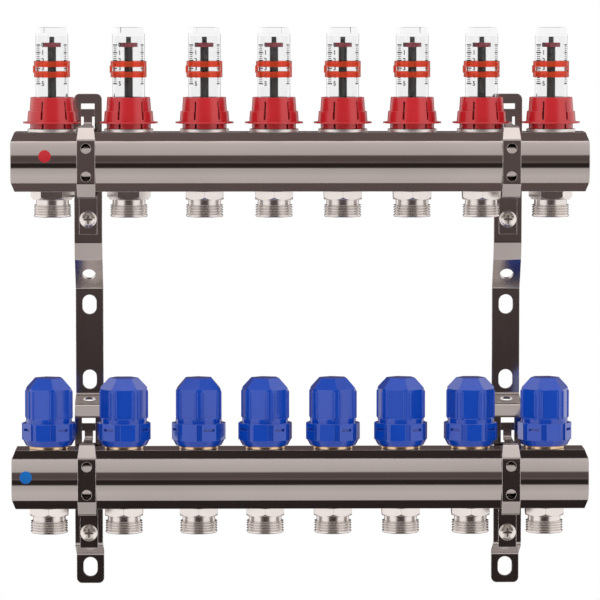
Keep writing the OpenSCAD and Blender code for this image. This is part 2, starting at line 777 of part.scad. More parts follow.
module slot(z) {
  straight = slot_len - slot_w;
  translate([0, 0, z]) rotate([90, 0, 0]) {
    for (side = [-1, 1]) translate([0, side * straight / 2, -far]) cylinder(d = slot_w, h = 2 * far);
    translate([-slot_w / 2, -straight / 2, -far]) cube([slot_w, straight, 2 * far]);
  }
}

// A round hole square to the strip, in the middle between two points of its path
module slope_hole(a, b) {
  middle = (a + b) / 2;
  lean = atan2(b[1] - a[1], b[0] - a[0]);
  translate([0, middle[0], middle[1]]) rotate([lean, 0, 0])
    cylinder(d = slope_hole_d, h = 4 * strip_t, center = true);
}

// Front outline of the strip, with round corners
module strip_plate() {
  low = foot_end;
  high = supply_z + seat_top;
  half = strip_w / 2 - strip_corner_r;
  for (x = [-half, half]) {
    for (z = [low + strip_corner_r, high - strip_corner_r]) translate([x, 0, z]) rotate([90, 0, 0])
      cylinder(r = strip_corner_r, h = 4 * far, center = true);
  }
  translate([-strip_w / 2, -2 * far, low + strip_corner_r])
    cube([strip_w, 4 * far, high - low - 2 * strip_corner_r]);
  translate([-half, -2 * far, low]) cube([2 * half, 4 * far, high - low]);
}

module bracket() {
  color("#8d8683") difference() {
    intersection() {
      bent_strip(strip_points, strip_bend_r, strip_t, strip_w);
      strip_plate();
    }
    slot(wall_high - slot_inset);
    slot(wall_low + slot_inset);
    slot(foot_end + slot_inset);
    slope_hole(strip_points[2], strip_points[3]);
    slope_hole(strip_points[4], strip_points[5]);
    for (z = [supply_z, return_z]) {
      translate([-window_w / 2, -far, z + window_low]) cube([window_w, 2 * far, window_high - window_low]);
      translate([0, 0, z - screw_z]) rotate([90, 0, 0])
        cylinder(r = screw_r + thread_gap, h = 2 * far, center = true);
    }
  }
}

// Strap round a bar: a tongue under it for the screw, and a neck with a cross head on top
module clamp() {
  neck_start = strap_front_y;
  color("#a49d9a") difference() {
    bent_strip(strap_points, strap_bend_r, strap_t, strap_w);
    for (side = [-1, 1]) {
      translate([0, 0, strap_front]) linear_extrude(strap_head_low - strap_front) polygon([
        [side * strap_neck_w / 2, 0],
        [side * strap_neck_w / 2, far],
        [side * strap_w, far],
        [side * strap_w, neck_start],
        [side * strap_w / 2, neck_start]
      ]);
      translate([0, strap_front_y, side * strap_hole_z]) rotate([90, 0, 0])
        cylinder(r = strap_hole_r, h = 4 * strap_t, center = true);
    }
    translate([0, strap_tail_y, -screw_z]) rotate([90, 0, 0])
      cylinder(r = screw_r + run_gap, h = 4 * strap_t, center = true);
  }
}

module screw() {
  under_head = strap_tail_y - strap_t / 2 - seat_gap;
  dome_r = (screw_head_r * screw_head_r + screw_head_h * screw_head_h) / (2 * screw_head_h);
  color("#c9c6c2") translate([0, under_head, -screw_z]) rotate([90, 0, 0]) difference() {
    union() {
      intersection() {
        translate([0, 0, screw_head_h - dome_r]) sphere(r = dome_r);
        cylinder(r = screw_head_r, h = screw_head_h);
      }
      translate([0, 0, under_head - plate_front - strip_t - screw_proud])
        cylinder(r = screw_r, h = plate_front + strip_t + screw_proud - under_head + cut / 2);
    }
    for (turn = [0, 90]) rotate(turn) translate([-recess_len / 2, -recess_w / 2, screw_head_h - recess_depth])
      cube([recess_len, recess_w, recess_depth + cut]);
  }
}

// A thin round mark that follows the front of a bar
module mark(x, z) {
  intersection() {
    along_front() difference() {
      cylinder(r = bar_front_r + mark_gap + mark_t, h = bar_len, center = true);
      cylinder(r = bar_front_r + mark_gap, h = bar_len + 2 * cut, center = true);
    }
    translate([x - bar_len / 2, 0, z]) rotate([90, 0, 0]) cylinder(r = mark_r, h = far);
  }
}

module at_supply(x) {
  translate([x, supply_y, supply_z]) children();
}

module at_return(x) {
  translate([x, return_y, return_z]) children();
}

at_supply(0) bar(supply_x);  // supply_bar
at_return(0) bar(return_x);  // return_bar
translate([left_x, 0, 0]) bracket();  // bracket_left
translate([right_x, 0, 0]) bracket();  // bracket_right
at_supply(left_x) clamp();  // clamp_supply_left
at_supply(right_x) clamp();  // clamp_supply_right
at_return(left_x) clamp();  // clamp_return_left
at_return(right_x) clamp();  // clamp_return_right
union() {  // clamp_screws
  for (x = [left_x, right_x]) {
    at_supply(x) screw();
    at_return(x) screw();
  }
}
union() {  // supply_nipples
  for (i = [0:circuits - 1]) at_supply(supply_x[i]) nipple(supply_hex_turn[i]);
}
union() {  // return_nipples
  for (i = [0:circuits - 1]) at_return(return_x[i]) nipple(return_hex_turn[i]);
}
color("#d01c22") at_supply(0) mark(supply_mark_x, supply_mark_z);  // supply_mark
color("#0070b8") at_return(0) mark(return_mark_x, return_mark_z);  // return_mark
for (x = supply_x) at_supply(x) meter_base();  // meter_bases
for (x = supply_x) at_supply(x) seal_ring();  // meter_seals
for (x = supply_x) at_supply(x) sight_tube();  // sight_tubes
for (x = return_x) at_return(x) valve_insert();  // valve_inserts
for (x = return_x) at_return(x) seal_ring();  // valve_seals
for (i = [0:circuits - 1]) {
  at_supply(supply_x[i]) collar();
  at_supply(supply_x[i]) indicator();
  at_supply(supply_x[i]) marker();
  at_return(return_x[i]) valve_pin();
  at_return(return_x[i]) rotate(cap_turn[i]) cap();
}
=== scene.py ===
# %% [markdown]
# # An underfloor heating manifold, dressed for a studio picture
# The manifold is two nickel-plated bars on two bent steel brackets. The upper bar feeds eight heating
# circuits through flow meters, and the lower one takes the water back through eight hand valves. Its solids
# come packed from the construction step, in metres and in their places. This lesson gives them their
# finishes, adds the printed scales and the marker rings, and lights the whole for a camera.

# %% Load the solids
import math

import bpy
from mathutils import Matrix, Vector


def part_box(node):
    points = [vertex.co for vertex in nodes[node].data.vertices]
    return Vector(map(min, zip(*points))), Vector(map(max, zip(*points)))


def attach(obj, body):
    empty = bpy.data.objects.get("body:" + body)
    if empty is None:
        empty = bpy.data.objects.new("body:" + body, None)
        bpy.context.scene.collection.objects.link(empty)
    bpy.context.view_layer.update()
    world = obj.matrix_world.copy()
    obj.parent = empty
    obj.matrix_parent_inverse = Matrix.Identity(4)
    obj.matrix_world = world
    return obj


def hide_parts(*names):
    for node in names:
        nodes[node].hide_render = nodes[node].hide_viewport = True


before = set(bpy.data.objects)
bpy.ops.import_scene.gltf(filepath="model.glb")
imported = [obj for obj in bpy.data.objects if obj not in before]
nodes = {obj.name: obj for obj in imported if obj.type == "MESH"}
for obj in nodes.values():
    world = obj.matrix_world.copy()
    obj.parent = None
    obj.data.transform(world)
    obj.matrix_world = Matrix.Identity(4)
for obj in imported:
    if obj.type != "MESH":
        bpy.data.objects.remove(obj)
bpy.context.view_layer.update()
circuits = range(1, 9)

# %% [markdown]
# ## Camera
# The picture was taken from the front, a little above the middle of the manifold, with a long lens, so the
# bars look straight and their ends show almost nothing of their depth. A camera far off with a narrow angle
# gives the same flat view, which a near camera with a wide lens could not.

# %% Camera
aim = Vector((0.0, -0.046, 0.0139))
camera_place = Vector((-0.043, -3.046, 0.244))
sensor_mm = 36
lens_mm = 252.7


def look_at_aim(place):
    return (aim - place).to_track_quat("-Z", "Y").to_euler()


bpy.ops.object.camera_add(location=camera_place, rotation=look_at_aim(camera_place))
camera = bpy.context.object
camera.name = "camera"
camera.data.sensor_width = sensor_mm
camera.data.lens = lens_mm
bpy.context.scene.camera = camera
print("camera", round((aim - camera_place).length, 3), "m away, lens", camera.data.lens, "mm")

# %% [markdown]
# ## Studio
# Bright plating has no colour of its own to show: it shows the room. In the picture the bars carry a dark
# band in the middle, where they mirror the dark camera side, pale bands above and below it from large white
# panels, a thin bright line from a lamp overhead, and dark strips at the very edges. The world is painted as
# such a room for mirrored rays, by the direction that they leave in. The background that the camera sees
# straight on, or through the clear tubes, is plain white, and matt surfaces get even soft light.

# %% World
world = bpy.data.worlds.new("studio_room")
bpy.context.scene.world = world
world.use_nodes = True
room = world.node_tree.nodes
wire = world.node_tree.links
room.clear()


def room_node(kind, **settings):
    made = room.new(kind)
    for key, value in settings.items():
        setattr(made, key, value)
    return made


def room_math(operation, *values):
    made = room_node("ShaderNodeMath", operation=operation)
    for slot, value in zip(made.inputs, values):
        if isinstance(value, (int, float)):
            slot.default_value = value
        else:
            wire.new(value, slot)
    return made.outputs[0]


heading = room_node("ShaderNodeSeparateXYZ")
wire.new(room_node("ShaderNodeTexCoord").outputs["Generated"], heading.inputs[0])
ahead = room_math("MULTIPLY", heading.outputs["Y"], -1.0)
lift = room_math("ARCTAN2", heading.outputs["Z"], ahead)
round_share = room_math("MULTIPLY_ADD", lift, 0.5 / math.pi, 0.5)
panels = room_node("ShaderNodeValToRGB")
wire.new(round_share, panels.inputs["Fac"])
# angle from the camera side, up over the top, in degrees, and the brightness mirrored from there
panel_stops = [(-180, 0.12), (-158, 0.1), (-152, 0.5), (-112, 0.56), (-106, 0.05), (-90, 0.05), (-85, 0.62),
               (-50, 0.68), (-25, 0.55), (-21, 0.035), (-8, 0.024), (-6.9, 0.026), (-6.2, 0.036), (-5, 0.062),
               (-4, 0.07), (-3.1, 0.12), (-2.4, 0.19), (-1.2, 0.17), (1, 0.12), (4, 0.11), (20, 0.12), (24, 0.58),
               (60, 0.68), (66, 0.74), (68, 1.4), (75, 1.4), (80, 0.06), (104, 0.06), (110, 0.55), (148, 0.5),
               (154, 0.06), (180, 0.12)]
# bright panels are nearly white, and the dark side of the room is browner
pale_tint = (1.0, 0.92, 0.9)
dark_tint = (1.0, 0.76, 0.74)
pale_from = 0.195
# white panels stand at both sides too, from this share of the sideways direction on
side_start, side_full = 0.4, 0.62
side_light = (1.15, 1.1, 1.09, 1)
soft_light = 0.44
white = (1, 1, 1, 1)
ramp = panels.color_ramp.elements
while len(ramp) < len(panel_stops):
    ramp.new(0.5)
# all places come first, because the ramp sorts its stops while they move
for stop, (angle, bright) in zip(ramp, panel_stops):
    stop.position = 0.5 + angle / 360
for stop, (angle, bright) in zip(ramp, panel_stops):
    tint = pale_tint if bright > pale_from else dark_tint
    stop.color = (*(bright * part for part in tint), 1)
aside = room_node("ShaderNodeMapRange", interpolation_type="SMOOTHSTEP")
wire.new(room_math("ABSOLUTE", heading.outputs["X"]), aside.inputs["Value"])
aside.inputs["From Min"].default_value = side_start
aside.inputs["From Max"].default_value = side_full
side_panels = room_node("ShaderNodeMix", data_type="RGBA")
wire.new(aside.outputs["Result"], side_panels.inputs["Factor"])
wire.new(panels.outputs["Color"], side_panels.inputs["A"])
side_panels.inputs["B"].default_value = side_light
mirrored = room_node("ShaderNodeBackground")
wire.new(side_panels.outputs["Result"], mirrored.inputs["Color"])
soft = room_node("ShaderNodeBackground")
soft.inputs["Color"].default_value = white
soft.inputs["Strength"].default_value = soft_light
plain = room_node("ShaderNodeBackground")
plain.inputs["Color"].default_value = white
rays = room_node("ShaderNodeLightPath")
seen = room_math("MAXIMUM", rays.outputs["Is Camera Ray"], rays.outputs["Is Transmission Ray"])
first = room_node("ShaderNodeMixShader")
wire.new(rays.outputs["Is Glossy Ray"], first.inputs["Fac"])
wire.new(soft.outputs[0], first.inputs[1])
wire.new(mirrored.outputs[0], first.inputs[2])
second = room_node("ShaderNodeMixShader")
wire.new(seen, second.inputs["Fac"])
wire.new(first.outputs[0], second.inputs[1])
wire.new(plain.outputs[0], second.inputs[2])
wire.new(second.outputs[0], room_node("ShaderNodeOutputWorld").inputs["Surface"])
bpy.context.scene.view_settings.view_transform = "Standard"
print(len(panel_stops), "panels round the room")

# %% [markdown]
# ## Lamps and floor
# Two large soft lamps from the upper left and the right give the plastic pieces their rounding. They stay out
# of the mirrored room, where the painted panels already stand for them. The floor is pale and wide, a little
# below the manifold, which hangs on a wall in use. It takes a shadow near the manifold and fades to plain white
# farther out, so that no horizon shows.

# %% Lamps
def softbox(name, place, size, power):
    bpy.ops.object.light_add(type="AREA", location=place)
    lamp = bpy.context.object
    lamp.name = name
    lamp.rotation_euler = look_at_aim(Vector(place))
    lamp.data.size = size
    lamp.data.energy = power
    lamp.visible_camera = False
    lamp.visible_glossy = False


softbox("lamp_left", (-1.3, -1.5, 1.2), 1.2, 17)
softbox("lamp_right", (1.5, -1.2, 0.7), 1.2, 10)
softbox("lamp_above", (0.1, -0.5, 2.0), 1.4, 8)
floor_size = 30
floor_z = -0.27
floor_white = (0.9, 0.9, 0.9, 1)
# the floor's own white takes over from its shading between these two distances from the middle
fade_settings = (("From Min", 0.26), ("From Max", 0.42), ("To Min", 0.45), ("To Max", 1.0))
bpy.ops.mesh.primitive_plane_add(size=floor_size, location=(0, 0, floor_z))
floor = bpy.context.object
floor.name = "floor"
floor_paint = bpy.data.materials.new("floor_paint")
floor_paint.use_nodes = True
paint = floor_paint.node_tree
matt = paint.nodes["Principled BSDF"]
matt.inputs["Base Color"].default_value = floor_white
matt.inputs["Roughness"].default_value = 0.9
glow = paint.nodes.new("ShaderNodeEmission")
reach = paint.nodes.new("ShaderNodeVectorMath")
reach.operation = "LENGTH"
fade = paint.nodes.new("ShaderNodeMapRange")
fade.interpolation_type = "SMOOTHSTEP"
for key, number in fade_settings:
    fade.inputs[key].default_value = number
seen_share = paint.nodes.new("ShaderNodeMath")
seen_share.operation = "MULTIPLY"
path = paint.nodes.new("ShaderNodeLightPath")
blend_floor = paint.nodes.new("ShaderNodeMixShader")
paint.links.new(paint.nodes.new("ShaderNodeTexCoord").outputs["Object"], reach.inputs[0])
paint.links.new(reach.outputs["Value"], fade.inputs["Value"])
paint.links.new(fade.outputs["Result"], seen_share.inputs[0])
paint.links.new(path.outputs["Is Camera Ray"], seen_share.inputs[1])
paint.links.new(seen_share.outputs[0], blend_floor.inputs["Fac"])
paint.links.new(matt.outputs[0], blend_floor.inputs[1])
paint.links.new(glow.outputs[0], blend_floor.inputs[2])
paint.links.new(blend_floor.outputs[0], paint.nodes["Material Output"].inputs["Surface"])
floor.data.materials.append(floor_paint)
floor.visible_glossy = False
floor.visible_transmission = False
print("three lamps and a floor")

# %% [markdown]
# ## Helpers for the finishes
# Every finish is a Principled shader that reads Object coordinates. Grain comes from a noise that can be
# stretched along the way a piece was drawn or moulded, and worn edges come from comparing the surface with
# its rounded copy in a Bevel node, which also breaks the sharp edges of the solids as a real tool would.

# %% Finish helpers
class Finish:
    def __init__(self, name):
        self.material = bpy.data.materials.new(name)
        self.material.use_nodes = True
        self.tree = self.material.node_tree
        self.shader = self.tree.nodes["Principled BSDF"]
        self.place = self.tree.nodes.new("ShaderNodeTexCoord")

    def node(self, kind, **settings):
        made = self.tree.nodes.new(kind)
        for key, value in settings.items():
            setattr(made, key, value)
        return made

    def link(self, source, target):
        self.tree.links.new(source, target)

    def set(self, **values):
        for key, value in values.items():
            self.shader.inputs[key.replace("_", " ")].default_value = value
        return self

    def grain(self, scale, stretch=(1, 1, 1), detail=2.0):
        stretched = self.node("ShaderNodeMapping")
        stretched.inputs["Scale"].default_value = stretch
        noise = self.node("ShaderNodeTexNoise")
        noise.inputs["Scale"].default_value = scale
        noise.inputs["Detail"].default_value = detail
        self.link(self.place.outputs["Object"], stretched.inputs["Vector"])
        self.link(stretched.outputs["Vector"], noise.inputs["Vector"])
        return noise.outputs["Fac"]

    def spread(self, value, low, high, start=0.3, end=0.7):
        mapped = self.node("ShaderNodeMapRange")
        self.link(value, mapped.inputs["Value"])
        for key, number in (("From Min", start), ("From Max", end), ("To Min", low), ("To Max", high)):
            mapped.inputs[key].default_value = number
        return mapped.outputs["Result"]

    def blend(self, share, one, other):
        mix = self.node("ShaderNodeMix", data_type="RGBA")
        self.link(share, mix.inputs["Factor"])
        for slot, colour in (("A", one), ("B", other)):
            if isinstance(colour, tuple):
                mix.inputs[slot].default_value = (*colour, 1)
            else:
                self.link(colour, mix.inputs[slot])
        return mix.outputs["Result"]

    def edges(self, radius, samples=6):
        rounded = self.node("ShaderNodeBevel", samples=samples)
        rounded.inputs["Radius"].default_value = radius
        self.rounded = rounded
        true_side = self.node("ShaderNodeNewGeometry")
        match = self.node("ShaderNodeVectorMath", operation="DOT_PRODUCT")
        self.link(rounded.outputs["Normal"], match.inputs[0])
        self.link(true_side.outputs["Normal"], match.inputs[1])
        return self.spread(match.outputs["Value"], 1, 0, 0.8, 0.99)

    def bump(self, height, strength, distance):
        relief = self.node("ShaderNodeBump")
        relief.inputs["Strength"].default_value = strength
        relief.inputs["Distance"].default_value = distance
        self.link(height, relief.inputs["Height"])
        if hasattr(self, "rounded"):
            self.link(self.rounded.outputs["Normal"], relief.inputs["Normal"])
        self.link(relief.outputs["Normal"], self.shader.inputs["Normal"])

    def colour(self, source):
        self.link(source, self.shader.inputs["Base Color"])

    def rough(self, source):
        self.link(source, self.shader.inputs["Roughness"])

    def on(self, *names):
        for name in names:
            for slot in nodes[name].material_slots:
                slot.material = self.material
        print(self.material.name, "on", len(names), "solids")


def each(kind):
    return [f"{kind}_{n}" for n in circuits]


# %% [markdown]
# ## Nickel plating
# The bars are brass with a bright nickel plate, a warm grey metal. It is polished along the bar, so the faint
# lines in its gloss run that way, and slow clouds in its tone keep it from looking like a perfect mirror. The
# nipples are plated over the marks of the turning tool, so they mirror less sharply, and the meter bases over
# turned rings that were left rough, so they look satin.

# %% Nickel plating
relief_depth = 0.0001


def plated(name, edge, clouds, tones, worn, lines, gloss, relief):
    plate = Finish(name).set(Metallic=1.0)
    wear = plate.edges(edge)
    tone = plate.blend(plate.spread(plate.grain(clouds), 0, 1), *tones)
    plate.colour(plate.blend(wear, tone, worn))
    streaks = plate.grain(*lines)
    plate.rough(plate.spread(streaks, *gloss))
    plate.bump(streaks, relief, relief_depth)
    return plate


lines_along, lines_upright, lines_round = (1, 40, 40), (30, 30, 1), (1, 1, 30)
nickel = plated("nickel_plating", 0.0004, 14.0, ((0.64, 0.605, 0.58), (0.69, 0.655, 0.63)), (0.78, 0.75, 0.73),
                (60.0, lines_along, 4.0), (0.05, 0.1), 0.02)
nickel.on("supply_bar", "return_bar")
turned = plated("turned_nickel", 0.0003, 60.0, ((0.7, 0.665, 0.64), (0.76, 0.725, 0.7)), (0.84, 0.81, 0.79),
                (90.0, lines_round, 3.0), (0.2, 0.28), 0.04)
turned.on("supply_nipples", "return_nipples")
satin = plated("satin_nickel", 0.0003, 200.0, ((0.78, 0.75, 0.73), (0.84, 0.81, 0.79)), (0.9, 0.88, 0.86),
               (90.0, lines_round, 3.0), (0.38, 0.5), 0.05)
satin.on("meter_bases")

# %% [markdown]
# ## Plated steel
# The brackets and straps are pressed from strip and plated after bending. The strip's rolling lines run up and
# down, and the sheared edges are bright where the plate has built up. The screws are zinc plated and duller.

# %% Plated steel
steel = plated("plated_steel", 0.0005, 20.0, ((0.58, 0.545, 0.53), (0.65, 0.615, 0.595)), (0.82, 0.8, 0.78),
               (70.0, lines_upright, 4.0), (0.09, 0.16), 0.03)
steel.on("bracket_left", "bracket_right", "clamp_supply_left", "clamp_supply_right",
         "clamp_return_left", "clamp_return_right")

zinc = Finish("screw_zinc").set(Metallic=1.0)
zinc_wear = zinc.edges(0.0003)
zinc.colour(zinc.blend(zinc_wear, (0.74, 0.71, 0.67), (0.86, 0.84, 0.8)))
zinc.rough(zinc.spread(zinc.grain(900.0), 0.18, 0.3))
zinc.bump(zinc.grain(1500.0), 0.08, relief_depth)
zinc.on("clamp_screws", *each("valve_pin"))

# %% [markdown]
# ## Brass and rubber
# Under each cap a ring of bare turned brass shows, and rubber rings seal the fittings. The turning leaves fine
# rings that lie level, so the grain is stretched in the two level directions.

# %% Brass and rubber
brass = Finish("turned_brass").set(Metallic=1.0)
brass_wear = brass.edges(0.0003)
brass.colour(brass.blend(brass_wear, (0.74, 0.55, 0.36), (0.86, 0.7, 0.5)))
brass_rings = brass.grain(80.0, lines_round, 3.0)
brass.rough(brass.spread(brass_rings, 0.16, 0.3))
brass.bump(brass_rings, 0.05, relief_depth)
brass.on("valve_inserts")

rubber = Finish("seal_rubber")
rubber.colour(rubber.blend(rubber.spread(rubber.grain(400.0), 0, 1), (0.018, 0.018, 0.018), (0.04, 0.04, 0.04)))
rubber.rough(rubber.spread(rubber.grain(800.0), 0.55, 0.8))
rubber.bump(rubber.grain(2500.0), 0.15, relief_depth)
rubber.on("meter_seals", "valve_seals")

# %% [markdown]
# ## Moulded plastics
# The collars are red and the caps blue, both moulded in glossy plastic. The mould leaves a very fine orange
# peel, slow shifts in colour where the plastic flowed, and edges that handling has polished paler. A coat over
# the coloured base mirrors the bright sides of the room, which is what makes the side faces look lighter.

# %% Moulded plastics
def moulded(name, deep, clear, worn, gloss, coat):
    plastic = Finish(name).set(Coat_Weight=coat, Coat_IOR=1.5, Coat_Roughness=gloss / 2)
    wear = plastic.edges(0.0005)
    flow = plastic.blend(plastic.spread(plastic.grain(45.0, (1, 1, 0.4), 3.0), 0, 1), deep, clear)
    plastic.colour(plastic.blend(wear, flow, worn))
    plastic.rough(plastic.spread(plastic.grain(700.0), gloss - 0.05, gloss + 0.06))
    plastic.bump(plastic.grain(1200.0), 0.02, relief_depth)
    return plastic


red = moulded("red_plastic", (0.51, 0.009, 0.015), (0.58, 0.013, 0.020), (0.78, 0.09, 0.10), 0.34, 0.5)
red.on(*each("collar"))
blue = moulded("blue_plastic", (0.002, 0.055, 0.44), (0.003, 0.066, 0.5), (0.08, 0.18, 0.72), 0.17, 0.38)
blue.on(*each("cap"))

# %% [markdown]
# ## Clear tubes and indicators
# The sight tubes are clear plastic, so they take the Principled shader's transmission. The wall is thin, and a
# low index keeps it from bending the view of the stem, as water in the tube would. The indicator inside is
# a black ribbed stem with a dark red disc near its top, and the disc is coloured by its height on the stem,
# because both are one moulding.

# %% Clear tubes and indicators
clear = Finish("clear_plastic").set(Base_Color=(0.925, 0.925, 0.928, 1), Transmission_Weight=1.0, IOR=1.18)
clear.rough(clear.spread(clear.grain(120.0, (1, 1, 0.3)), 0.02, 0.06))
clear.bump(clear.grain(260.0, (1, 1, 0.2)), 0.03, relief_depth)
clear.on("sight_tubes")

tip_h = 0.0042
disc_h = 0.003
paint_over = 0.00001
disc_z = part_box("indicator_1")[1].z - tip_h - disc_h / 2
stem = Finish("indicator_plastic")
height = stem.node("ShaderNodeSeparateXYZ")
stem.link(stem.place.outputs["Object"], height.inputs[0])
in_disc = stem.node("ShaderNodeMath", operation="COMPARE")
stem.link(height.outputs["Z"], in_disc.inputs[0])
in_disc.inputs[1].default_value = disc_z
in_disc.inputs[2].default_value = disc_h / 2 + paint_over
stem_tone = stem.blend(stem.spread(stem.grain(300.0), 0, 1), (0.012, 0.011, 0.010), (0.022, 0.020, 0.018))
stem.colour(stem.blend(in_disc.outputs[0], stem_tone, (0.20, 0.018, 0.03)))
stem.rough(stem.spread(stem.grain(600.0), 0.35, 0.5))
stem_ribs = stem.node("ShaderNodeTexWave", bands_direction="X")
stem_ribs.inputs["Scale"].default_value = 320.0
stem.link(stem.place.outputs["Object"], stem_ribs.inputs["Vector"])
stem.bump(stem_ribs.outputs["Fac"], 0.5, 2 * relief_depth)
stem.on(*each("indicator"))

# %% [markdown]
# ## Coloured marks
# A red dot and a blue dot of printed film say which bar is hot and which is cold. Film has a thin gloss and a
# little unevenness from the hand that pressed it on.

# %% Coloured marks
def film(name, one, other, node):
    print_film = Finish(name)
    print_film.colour(print_film.blend(print_film.spread(print_film.grain(500.0), 0, 1), one, other))
    print_film.rough(print_film.spread(print_film.grain(300.0), 0.28, 0.4))
    print_film.bump(print_film.grain(700.0), 0.05, relief_depth)
    print_film.on(node)


film("red_film", (0.48, 0.014, 0.022), (0.54, 0.018, 0.027), "supply_mark")
film("blue_film", (0.0, 0.125, 0.45), (0.0, 0.145, 0.51), "return_mark")

# %% [markdown]
# ## Marker rings
# A friction ring of translucent orange plastic sits on each tube and marks the flow that was set. It has two
# bands joined by posts, with windows between them, so the scale can be read through it. An open cylinder is
# cut into rows with bisect, the window faces are deleted by their place, and Solidify gives the wall its
# thickness before a small bevel. The solid ring in the frame is plain, so this one stands for it.

# %% Marker rings
def clear_selection():
    if bpy.context.object and bpy.context.object.mode != "OBJECT":
        bpy.ops.object.mode_set(mode="OBJECT")
    bpy.ops.object.select_all(action="DESELECT")


def apply_all(piece):
    bpy.context.view_layer.objects.active = piece
    for change in list(piece.modifiers):
        bpy.ops.object.modifier_apply(modifier=change.name)


def settle(piece):
    clear_selection()
    piece.select_set(True)
    bpy.context.view_layer.objects.active = piece
    bpy.ops.object.transform_apply(location=True, rotation=True, scale=True)


def join(pieces):
    clear_selection()
    for piece in pieces:
        piece.select_set(True)
    bpy.context.view_layer.objects.active = pieces[0]
    bpy.ops.object.join()
    return pieces[0]


def copied(pattern, place):
    twin = pattern.copy()
    twin.data = pattern.data.copy()
    bpy.context.scene.collection.objects.link(twin)
    twin.location = place
    return twin


def pick_faces(piece, wanted):
    bpy.ops.mesh.select_mode(type="FACE")
    bpy.ops.mesh.select_all(action="DESELECT")
    bpy.ops.object.mode_set(mode="OBJECT")
    for face in piece.data.polygons:
        face.select = wanted(face.center)
    bpy.ops.object.mode_set(mode="EDIT")


ring_low, ring_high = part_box("marker_1")
ring_r = (ring_high.x - ring_low.x) / 2
ring_h = ring_high.z - ring_low.z
band_h = 0.0041
ring_wall = 0.00085
ring_edge = 0.00025
smooth_below = math.radians(40)
post_half = math.radians(17)
clear_selection()
bpy.ops.mesh.primitive_cylinder_add(vertices=96, radius=ring_r, depth=ring_h, end_fill_type="NOTHING",
                                    location=(0, 0, ring_h / 2))
pattern_ring = bpy.context.object
settle(pattern_ring)
bpy.ops.object.mode_set(mode="EDIT")
for level in (band_h, ring_h - band_h):
    bpy.ops.mesh.select_all(action="SELECT")
    bpy.ops.mesh.bisect(plane_co=(0, 0, level), plane_no=(0, 0, 1))


def in_window(middle):
    if not band_h < middle.z < ring_h - band_h:
        return False
    off = abs(abs(math.atan2(middle.y, middle.x)) - math.pi / 2)
    return off < math.pi / 2 - post_half


pick_faces(pattern_ring, in_window)
bpy.ops.mesh.delete(type="FACE")
bpy.ops.object.mode_set(mode="OBJECT")
wall = pattern_ring.modifiers.new("wall", "SOLIDIFY")
wall.thickness = ring_wall
wall.offset = -1
soft_edge = pattern_ring.modifiers.new("soft_edge", "BEVEL")
soft_edge.width = ring_edge
soft_edge.segments = 2
soft_edge.limit_method = "ANGLE"
soft_edge.angle_limit = smooth_below
apply_all(pattern_ring)
print("ring pattern", len(pattern_ring.data.polygons), "faces")

# %% [markdown]
# The small lug on the left of each ring is where a finger moves it. It starts as a cube, is bevelled round in
# edit mode and joined to the ring, and the finished ring is copied to every tube with a mesh of its own.

# %% Lugs and copies
lug_size = (0.0011, 0.0042, 0.0052)
lug_edge = 0.0004
lug_out = 0.0001
clear_selection()
bpy.ops.mesh.primitive_cube_add(size=1, location=(-ring_r - lug_out, 0, ring_h / 2))
lug = bpy.context.object
lug.scale = lug_size
settle(lug)
bpy.ops.object.mode_set(mode="EDIT")
bpy.ops.mesh.select_all(action="SELECT")
bpy.ops.mesh.bevel(offset=lug_edge, segments=3)
bpy.ops.object.mode_set(mode="OBJECT")
join([pattern_ring, lug])
bpy.ops.object.shade_smooth_by_angle(angle=smooth_below)

orange = Finish("marker_plastic").set(Transmission_Weight=0.7, IOR=1.3, Specular_IOR_Level=0.5)
orange_wear = orange.edges(0.0003)
orange_tone = orange.blend(orange.spread(orange.grain(120.0), 0, 1), (0.93, 0.10, 0.035), (0.96, 0.14, 0.05))
orange.colour(orange.blend(orange_wear, orange_tone, (0.97, 0.24, 0.14)))
orange.rough(orange.spread(orange.grain(500.0), 0.14, 0.24))
orange.bump(orange.grain(1500.0), 0.04, relief_depth)
pattern_ring.data.materials.append(orange.material)

for n in circuits:
    low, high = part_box(f"marker_{n}")
    ring = copied(pattern_ring, ((low.x + high.x) / 2, (low.y + high.y) / 2, low.z))
    ring.name = f"marker_ring_{n}"
    settle(ring)
    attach(ring, f"marker_{n}")
    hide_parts(f"marker_{n}")
bpy.data.objects.remove(pattern_ring)
print(len(circuits), "marker rings")

# %% [markdown]
# ## Printed scales
# Each tube carries a printed scale from 0 at the resting disc to 5, a little above the lowest place that the disc
# reaches. Ink is thin, yet it is modelled as a real skin, so it keeps sharp at any distance and shows through
# the clear wall from behind. The digits are text made into a mesh, the ticks are flat bars, and both are wrapped
# round the tube by turning their width into an angle.

# %% Scale pattern
tube_r = 0.0116
ink_lift = 0.00006
ink_h = 0.00006
ink_r = tube_r + ink_lift
ink = Finish("scale_ink")
ink.colour(ink.blend(ink.spread(ink.grain(900.0), 0, 1), (0.012, 0.012, 0.013), (0.03, 0.03, 0.032)))
ink.rough(ink.spread(ink.grain(600.0), 0.4, 0.55))
ink.bump(ink.grain(2500.0), 0.1, relief_depth)
digit_size = 0.0044
digit_bold = 0.00012
weld = 0.000002


def digit(words):
    clear_selection()
    bpy.ops.object.text_add()
    text = bpy.context.object
    text.data.body = words
    text.data.size = digit_size
    text.data.align_x = "CENTER"
    text.data.align_y = "CENTER"
    text.data.extrude = ink_h / 2
    text.data.offset = digit_bold
    text.data.resolution_u = 4
    bpy.ops.object.convert(target="MESH")
    bpy.ops.object.mode_set(mode="EDIT")
    bpy.ops.mesh.select_all(action="SELECT")
    bpy.ops.mesh.remove_doubles(threshold=weld)
    bpy.ops.object.mode_set(mode="OBJECT")
    return text


